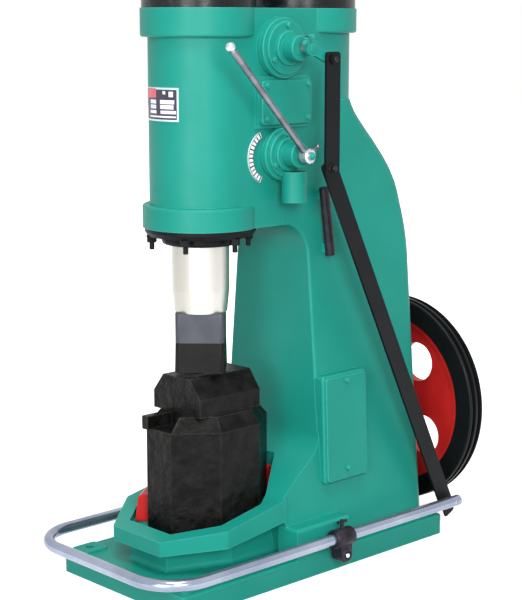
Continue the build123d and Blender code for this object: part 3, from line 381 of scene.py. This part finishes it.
# black of the cylinder covers, with lighter grey mottling as painted glints and reflections
COVER_BLACK_GLINTS = surface("cover_black_painted_glints", colour(12, 13, 15), colour(44, 44, 48), 30, (0.2, 0.36), coat=0.06,
                      bump=(60, 1.2, 0.4), middle=(0.5, 0.72), specular=0.24)
DIE_BLACK = surface("die_black", colour(6, 6, 6), colour(14, 14, 13), 20, (0.34, 0.5),
                    bump=(50, 1.5, 0.5), specular=0.14)
PLATE_GROUND = surface("plate_ground", colour(40, 34, 54), colour(52, 46, 68), 60, (0.3, 0.4))
PLATE_FIELD = surface("plate_field", colour(226, 226, 240), colour(242, 242, 250), 60, (0.35, 0.45))
PLATE_RED = surface("plate_red", colour(206, 92, 108), colour(222, 112, 126), 60, (0.35, 0.45))
# dark grey of the scale's printed marks, also used as painted shade in the valve arm's slit
SCALE_PRINT_AND_SLIT_SHADE = surface("scale_mark", colour(36, 52, 56), colour(52, 66, 72), 60, (0.4, 0.5))


def finish_of(piece, slot, material=None):
    piece.data.materials.clear()
    piece.data.materials.append(material or MATERIALS[slot])


def soften(node, width_mm):
    weld = nodes[node].modifiers.new("weld", "WELD")
    weld.merge_threshold = WELD_MM * MM
    bevel = nodes[node].modifiers.new("ease", "BEVEL")
    bevel.width = width_mm * MM
    bevel.segments = EASE_SEGMENTS
    bevel.limit_method = "ANGLE"
    bevel.angle_limit = math.radians(SHARP_DEG)
    bevel.harden_normals = True


def dress_nodes():
    for part in frame["record"]["subparts"]:
        finish_of(nodes[part["node"]], part["material_slot"])
    finish_of(nodes["upper_die"], "forged_black", DIE_BLACK)
    finish_of(nodes["lever_clamp_bolt"], "bright_steel", LEVER_ROD)
    # the cylinder covers get the black with painted glints
    for node in ("ram_cylinder_cover", "compressor_cylinder_cover"):
        finish_of(nodes[node], "black_paint", COVER_BLACK_GLINTS)
    for node, width in SOFT_EDGES.items():
        soften(node, width)


# shapes of the small pieces, built around a local Z axis

def stand(at, axis, turn=0.0):
    lean = Vector(axis).to_track_quat("Z", "Y").to_matrix().to_4x4()
    return Matrix.Translation(mm(*at)) @ lean @ Matrix.Rotation(math.radians(turn), 4, "Z")


def along_y(x, y, z, turn):
    return Matrix.Translation(mm(x, y, z)) @ Matrix.Rotation(math.radians(-turn), 4, "Y")


def polar(r, degrees):
    return r * math.cos(math.radians(degrees)), r * math.sin(math.radians(degrees))


def add_turned(builder, matrix, profile, sides=SIDES):
    rings = []
    for r, z in profile:
        if r == 0:
            rings.append([builder.verts.new(matrix @ mm(0, 0, z))])
            continue
        ring = []
        for i in range(sides):
            a = 2 * math.pi * i / sides
            ring.append(builder.verts.new(matrix @ mm(r * math.cos(a), r * math.sin(a), z)))
        rings.append(ring)
    for low, high in zip(rings, rings[1:]):
        for i in range(sides):
            j = (i + 1) % sides
            if len(low) == 1:
                builder.faces.new((low[0], high[i], high[j]))
            elif len(high) == 1:
                builder.faces.new((low[i], low[j], high[0]))
            else:
                builder.faces.new((low[i], low[j], high[j], high[i]))


def add_box(builder, matrix, size):
    stretch = Matrix.Diagonal((size[0] * MM, size[1] * MM, size[2] * MM, 1))
    bmesh.ops.create_cube(builder, size=1, matrix=matrix @ stretch)


def add_hex(builder, matrix, across, low, high):
    r = across / math.sqrt(3)
    ease = NUT_EASE * across
    top = [(r, high - ease), (r - NUT_EASE_WIDTH * ease, high), (0, high)]
    add_turned(builder, matrix, [(0, low), (r, low)] + top, HEX_SIDES)


def add_bolt(builder, kind, at, axis, turn=NUT_TURN_DEG):
    across, head, washer_r, washer_t, stud_r, stud_end = BOLTS[kind]
    matrix = stand(at, axis, turn)
    if washer_r:
        washer = [(0, -SEAT_DEPTH), (washer_r, -SEAT_DEPTH), (washer_r, washer_t), (0, washer_t)]
        add_turned(builder, matrix, washer)
    add_hex(builder, matrix, across, washer_t - SEAT_DEPTH, washer_t + head)
    if stud_r:
        tip = [(stud_r, stud_end - STUD_EASE), (stud_r - STUD_EASE, stud_end), (0, stud_end)]
        add_turned(builder, matrix, [(0, 0), (stud_r, 0)] + tip, STUD_SIDES)


def add_ball(builder, at, r):
    profile = [(0, -r)]
    for i in range(1, BALL_STEPS):
        a = math.pi * i / BALL_STEPS
        profile.append((r * math.sin(a), -r * math.cos(a)))
    profile.append((0, r))
    add_turned(builder, Matrix.Translation(mm(*at)), profile)


def add_wrap(builder, r, span):
    turn0, turn1, z0, z1 = span
    steps = max(2, int((turn1 - turn0) / PLATE_STEP_DEG))
    rows = []
    for i in range(steps + 1):
        x, y = polar(r, turn0 + (turn1 - turn0) * i / steps)
        rows.append((builder.verts.new(mm(x, y, z0)), builder.verts.new(mm(x, y, z1))))
    for a, b in zip(rows, rows[1:]):
        builder.faces.new((a[0], b[0], b[1], a[1]))


def finish_piece(builder, name, slot, body="frame", material=None):
    bmesh.ops.recalc_face_normals(builder, faces=builder.faces)
    mesh = bpy.data.meshes.new(name)
    builder.to_mesh(mesh)
    builder.free()
    for face in mesh.polygons:
        face.use_smooth = True
    mesh.set_sharp_from_angle(angle=math.radians(SHARP_DEG))
    piece = bpy.data.objects.new(name, mesh)
    bpy.context.scene.collection.objects.link(piece)
    finish_of(piece, slot, material)
    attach(piece, body)


# cylinder covers, gland and their bolts

def cylinder_bolts():
    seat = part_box("ram_gland_flange")[0].z / MM
    builder = bmesh.new()
    for i in range(GLAND_BOLTS):
        x, y = polar(GLAND_BOLT_R, GLAND_BOLT_START_DEG + 360 * i / GLAND_BOLTS)
        add_bolt(builder, "gland", (x, y, seat), DOWN, GLAND_NUT_TURN_DEG * i)
    finish_piece(builder, "gland_bolts", "black_paint")
    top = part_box("ram_cylinder_cover")[1].z / MM - COVER_BOSS_H
    for name, x0 in (("ram_cover_bolts", RAM_AXIS_X), ("compressor_cover_bolts", REAR_AXIS_X)):
        builder = bmesh.new()
        for i in range(COVER_BOLTS):
            x, y = polar(COVER_BOLT_R, COVER_BOLT_START_DEG + 360 * i / COVER_BOLTS)
            add_bolt(builder, "cylinder_cover", (x0 + x, y, top), UP, COVER_NUT_TURN_DEG * i)
        finish_piece(builder, name, "black_paint")


# valve side

def valve_bolts():
    for name, z, r in (("upper_cover_bolts", UPPER_VALVE_Z, UPPER_COVER_BOLT_R),
                       ("lower_cover_bolts", LOWER_VALVE_Z, LOWER_COVER_BOLT_R)):
        builder = bmesh.new()
        for turn in VALVE_BOLT_DEGS:
            x, up = polar(r, turn)
            add_bolt(builder, "valve_cover", (VALVE_X + x, VALVE_COVER_Y, z + up), VALVE_SIDE)
        finish_piece(builder, name, "teal_paint")
    builder = bmesh.new()
    for x, z in CHEST_BOLTS_AT:
        add_bolt(builder, "chest_cover", (x, CHEST_COVER_Y, z), VALVE_SIDE)
    finish_piece(builder, "chest_cover_bolts", "teal_paint")


def valve_arm_details():
    builder = bmesh.new()
    x, z = polar(ARM_BOLT_OUT, ARM_LUG_DEG)
    across_x, across_z = polar(1, ARM_LUG_DEG - 90)
    for kind, side in (("arm_head", 1), ("arm_nut", -1)):
        at_x = VALVE_X + x + side * ARM_BOLT_HALF * across_x
        at_z = UPPER_VALVE_Z + z + side * ARM_BOLT_HALF * across_z
        add_bolt(builder, kind, (at_x, ARM_Y, at_z), (side * across_x, 0, side * across_z))
    shaft_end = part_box("upper_valve_shaft")[0].y / MM
    cap = stand((VALVE_X, shaft_end, UPPER_VALVE_Z), VALVE_SIDE)
    add_turned(builder, cap, PROFILES["valve_shaft_cap"])
    finish_piece(builder, "valve_arm_bolt", "teal_paint", "upper_valve")
    builder = bmesh.new()
    # dark box in the lug's slit: painted shade where the gap is
    x, z = polar(ARM_SLIT_OUT, ARM_LUG_DEG)
    slit_shade = along_y(VALVE_X + x, ARM_Y, UPPER_VALVE_Z + z, ARM_LUG_DEG)
    add_box(builder, slit_shade, ARM_SLIT_SHADE_SIZE)
    finish_piece(builder, "valve_arm_slit_shade", "teal_paint", "upper_valve", SCALE_PRINT_AND_SLIT_SHADE)


def link_bolts():
    low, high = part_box("link_knee_bolt")
    knee_x = (low.x + high.x) / 2 / MM
    knee_y = low.y / MM
    knee_z = (low.z + high.z) / 2 / MM
    builder = bmesh.new()
    add_turned(builder, stand((knee_x, knee_y, knee_z), VALVE_SIDE), PROFILES["knee_washer"])
    finish_piece(builder, "knee_washer", "black_paint", "link")
    builder = bmesh.new()
    add_bolt(builder, "knee", (knee_x, knee_y - WASHER_OUT, knee_z), VALVE_SIDE)
    finish_piece(builder, "knee_nut", "dark_bar", "link")
    pin_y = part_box("upper_valve_arm")[0].y / MM
    builder = bmesh.new()
    washer = stand((ARM_PIN[0], pin_y + ARM_PIN_BACK, ARM_PIN[1]), VALVE_SIDE)
    add_turned(builder, washer, PROFILES["link_top_washer"])
    finish_piece(builder, "link_top_washer", "black_paint", "upper_valve")
    builder = bmesh.new()
    add_bolt(builder, "arm_pin", (ARM_PIN[0], pin_y - WASHER_OUT, ARM_PIN[1]), VALVE_SIDE)
    finish_piece(builder, "link_top_bolt", "dark_bar", "upper_valve")


def link_foot_end():
    slope = math.degrees(math.atan2(LINK_FOOT[1] - LINK_KNEE[1], LINK_FOOT[0] - LINK_KNEE[0]))
    x, z = polar(FOOT_END_OUT, slope)
    builder = bmesh.new()
    at = along_y(LINK_FOOT[0] + x, LINK_LOWER_Y, LINK_FOOT[1] + z, slope)
    for size in FOOT_END_SIZES:
        add_box(builder, at, size)
    finish_piece(builder, "link_foot_end", "black_paint", "link")


def lever_details():
    back, up = polar(1, LEVER_UP_DEG)
    tip = (VALVE_X - LEVER_LENGTH * back, LEVER_Y, LOWER_VALVE_Z + LEVER_LENGTH * up)
    grip_end = LEVER_LENGTH - LEVER_GRIP_SHORT
    near_r, far_r = LEVER_GRIP_RS
    grip = [(0, LEVER_GRIP_FROM), (near_r, LEVER_GRIP_FROM), (far_r, grip_end), (0, grip_end)]
    builder = bmesh.new()
    add_turned(builder, stand((VALVE_X, LEVER_Y, LOWER_VALVE_Z), (-back, 0, up)), grip, ROD_SIDES)
    finish_piece(builder, "lever_grip", "bright_steel", "hand_lever_body", LEVER_ROD)
    builder = bmesh.new()
    add_ball(builder, tip, LEVER_BALL_R)
    finish_piece(builder, "lever_ball", "bright_steel", "hand_lever_body", LEVER_HUB)
    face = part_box("hand_lever_hub")[0].y / MM
    hub = stand((VALVE_X, face, LOWER_VALVE_Z), VALVE_SIDE)
    builder = bmesh.new()
    add_turned(builder, hub, PROFILES["lever_hub_ring"], FINE_SIDES)
    finish_piece(builder, "lever_hub_ring", "bright_steel", "hand_lever_body", LEVER_HUB)
    builder = bmesh.new()
    add_turned(builder, hub, PROFILES["lever_hub_cap"])
    add_bolt(builder, "hub_screw", (VALVE_X, face - HUB_CAP_H, LOWER_VALVE_Z), VALVE_SIDE)
    finish_piece(builder, "lever_hub_cap", "teal_paint", "hand_lever_body")


def add_mark(builder, face, r, turn, size):
    x, z = polar(r, turn)
    add_box(builder, along_y(SCALE_CENTRE[0] + x, face, SCALE_CENTRE[1] + z, turn), size)


def scale_marks():
    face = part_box("lever_scale")[0].y / MM
    builder = bmesh.new()
    for i in range(SCALE_GAPS + 1):
        turn = 180 - SCALE_HALF_DEG + 2 * SCALE_HALF_DEG * i / SCALE_GAPS
        r, length = SCALE_SHORT_MARK if i % 2 else SCALE_LONG_MARK
        add_mark(builder, face, r, turn, (length, SCALE_MARK_T, SCALE_MARK_W))
    for r in SCALE_RIM_RS:
        length = r * math.radians(2 * SCALE_RIM_HALF_DEG) / SCALE_RIM_STEPS
        for i in range(SCALE_RIM_STEPS):
            turn = 180 - SCALE_RIM_HALF_DEG + 2 * SCALE_RIM_HALF_DEG * (i + 0.5) / SCALE_RIM_STEPS
            add_mark(builder, face, r, turn, (SCALE_RIM_W, SCALE_MARK_T, length))
    finish_piece(builder, "scale_marks", "white_enamel", "frame", SCALE_PRINT_AND_SLIT_SHADE)


def nameplate_details():
    builder = bmesh.new()
    add_wrap(builder, PLATE_R + PLATE_GROUND_OUT, PLATE_GROUND_SPAN)
    finish_piece(builder, "plate_ground", "plate_metal", "frame", PLATE_GROUND)
    builder = bmesh.new()
    for span in PLATE_FIELD_SPANS:
        add_wrap(builder, PLATE_R + PLATE_FIELD_OUT, span)
    finish_piece(builder, "plate_fields", "plate_metal", "frame", PLATE_FIELD)
    builder = bmesh.new()
    add_wrap(builder, PLATE_R + PLATE_FIELD_OUT, PLATE_MARK_SPAN)
    finish_piece(builder, "plate_mark", "plate_metal", "frame", PLATE_RED)


# column and treadle

def side_cover_bolts():
    low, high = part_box("column_side_cover")
    builder = bmesh.new()
    middle = (low.x + high.x) / 2 / MM
    for z in SIDE_BOLT_ZS:
        face = low.y / MM + SIDE_TAPER * (z - low.z / MM)
        add_bolt(builder, "side_cover", (middle, face, z), (0, -1, SIDE_TAPER))
    finish_piece(builder, "side_cover_bolts", "teal_paint")


def treadle_details():
    for name, side in (("right", -1), ("left", 1)):
        y = side * PIPE_Y
        out = (0, side, 0)
        builder = bmesh.new()
        for x in CLAMP_RING_XS:
            add_turned(builder, stand((x, y, PIPE_Z), (1, 0, 0)), PROFILES["clamp_ring"])
        lobe = stand((CLAMP_X, y + side * CLAMP_LOBE_OUT, CLAMP_PIN_Z), out)
        add_turned(builder, lobe, PROFILES["clamp_lobe"])
        finish_piece(builder, "clamp_rings_" + name, "dark_bar", "treadle")
        builder = bmesh.new()
        pin = stand((CLAMP_X, y + side * CLAMP_PIN_OUT, CLAMP_PIN_Z), out)
        add_turned(builder, pin, PROFILES["clamp_pin_end"])
        finish_piece(builder, "clamp_pin_end_" + name, "bright_steel")
    builder = bmesh.new()
    add_bolt(builder, "link_foot", (LINK_FOOT[0], LINK_FOOT_NUT_Y, LINK_FOOT[1]), (0, 1, 0))
    finish_piece(builder, "link_foot_nut", "dark_bar", "treadle")


# lights, floor and world

def area_light(name, at, aim, size, power):
    data = bpy.data.lights.new(name, "AREA")
    data.shape = "DISK"
    data.size = size
    data.energy = power
    lamp = bpy.data.objects.new(name, data)
    lamp.location = at
    lamp.rotation_euler = (Vector(aim) - Vector(at)).to_track_quat("-Z", "Y").to_euler()
    bpy.context.scene.collection.objects.link(lamp)


def seen_ray(tree):
    path = tree.nodes.new("ShaderNodeLightPath")
    seen = path.outputs["Is Camera Ray"]
    for kind in ("Is Glossy Ray", "Is Transmission Ray"):
        either = tree.nodes.new("ShaderNodeMath")
        either.operation = "MAXIMUM"
        tree.links.new(seen, either.inputs[0])
        tree.links.new(path.outputs[kind], either.inputs[1])
        seen = either.outputs[0]
    return seen


def make_world():
    world = bpy.data.worlds.new("studio")
    world.use_nodes = True
    tree = world.node_tree
    light = tree.nodes["Background"]
    light.inputs["Color"].default_value = (1, 1, 1, 1)
    light.inputs["Strength"].default_value = SKY_STRENGTH
    white = tree.nodes.new("ShaderNodeBackground")
    white.inputs["Color"].default_value = (1, 1, 1, 1)
    white.inputs["Strength"].default_value = 1.0
    shown = tree.nodes.new("ShaderNodeMixShader")
    tree.links.new(seen_ray(tree), shown.inputs["Fac"])
    tree.links.new(light.outputs[0], shown.inputs[1])
    tree.links.new(white.outputs[0], shown.inputs[2])
    tree.links.new(shown.outputs[0], tree.nodes["World Output"].inputs["Surface"])
    bpy.context.scene.world = world


def make_floor():
    mesh = bpy.data.meshes.new("floor")
    builder = bmesh.new()
    bmesh.ops.create_grid(builder, x_segments=1, y_segments=1, size=FLOOR_HALF_M)
    builder.to_mesh(mesh)
    builder.free()
    floor = bpy.data.objects.new("floor", mesh)
    material, tree, shader = new_material("floor_white")
    shader.inputs["Base Color"].default_value = grey(FLOOR_GREY)
    shader.inputs["Roughness"].default_value = 1.0
    shader.inputs["Specular IOR Level"].default_value = 0.0
    shader.inputs["Emission Color"].default_value = grey(1.0)
    place = tree.nodes.new("ShaderNodeNewGeometry")
    reach = tree.nodes.new("ShaderNodeVectorMath")
    reach.operation = "LENGTH"
    tree.links.new(place.outputs["Position"], reach.inputs[0])
    glow = tree.nodes.new("ShaderNodeMapRange")
    glow.inputs["From Min"].default_value = FLOOR_GLOW_NEAR[0]
    glow.inputs["From Max"].default_value = FLOOR_GLOW_FAR[0]
    glow.inputs["To Min"].default_value = FLOOR_GLOW_NEAR[1]
    glow.inputs["To Max"].default_value = FLOOR_GLOW_FAR[1]
    tree.links.new(reach.outputs["Value"], glow.inputs["Value"])
    tree.links.new(glow.outputs[0], shader.inputs["Emission Strength"])
    quiet = tree.nodes.new("ShaderNodeBsdfDiffuse")
    quiet.inputs["Color"].default_value = grey(FLOOR_QUIET_GREY)
    mix = tree.nodes.new("ShaderNodeMixShader")
    tree.links.new(seen_ray(tree), mix.inputs["Fac"])
    tree.links.new(quiet.outputs[0], mix.inputs[1])
    tree.links.new(shader.outputs[0], mix.inputs[2])
    tree.links.new(mix.outputs[0], tree.nodes["Material Output"].inputs["Surface"])
    mesh.materials.append(material)
    bpy.context.scene.collection.objects.link(floor)


def make_lights():
    for lamp in LAMPS:
        area_light(*lamp)


make_camera()
make_world()
make_floor()
make_lights()
dress_nodes()
cylinder_bolts()
valve_bolts()
valve_arm_details()
link_bolts()
link_foot_end()
lever_details()
scale_marks()
nameplate_details()
side_cover_bolts()
treadle_details()
bpy.context.scene.view_settings.view_transform = "Standard"
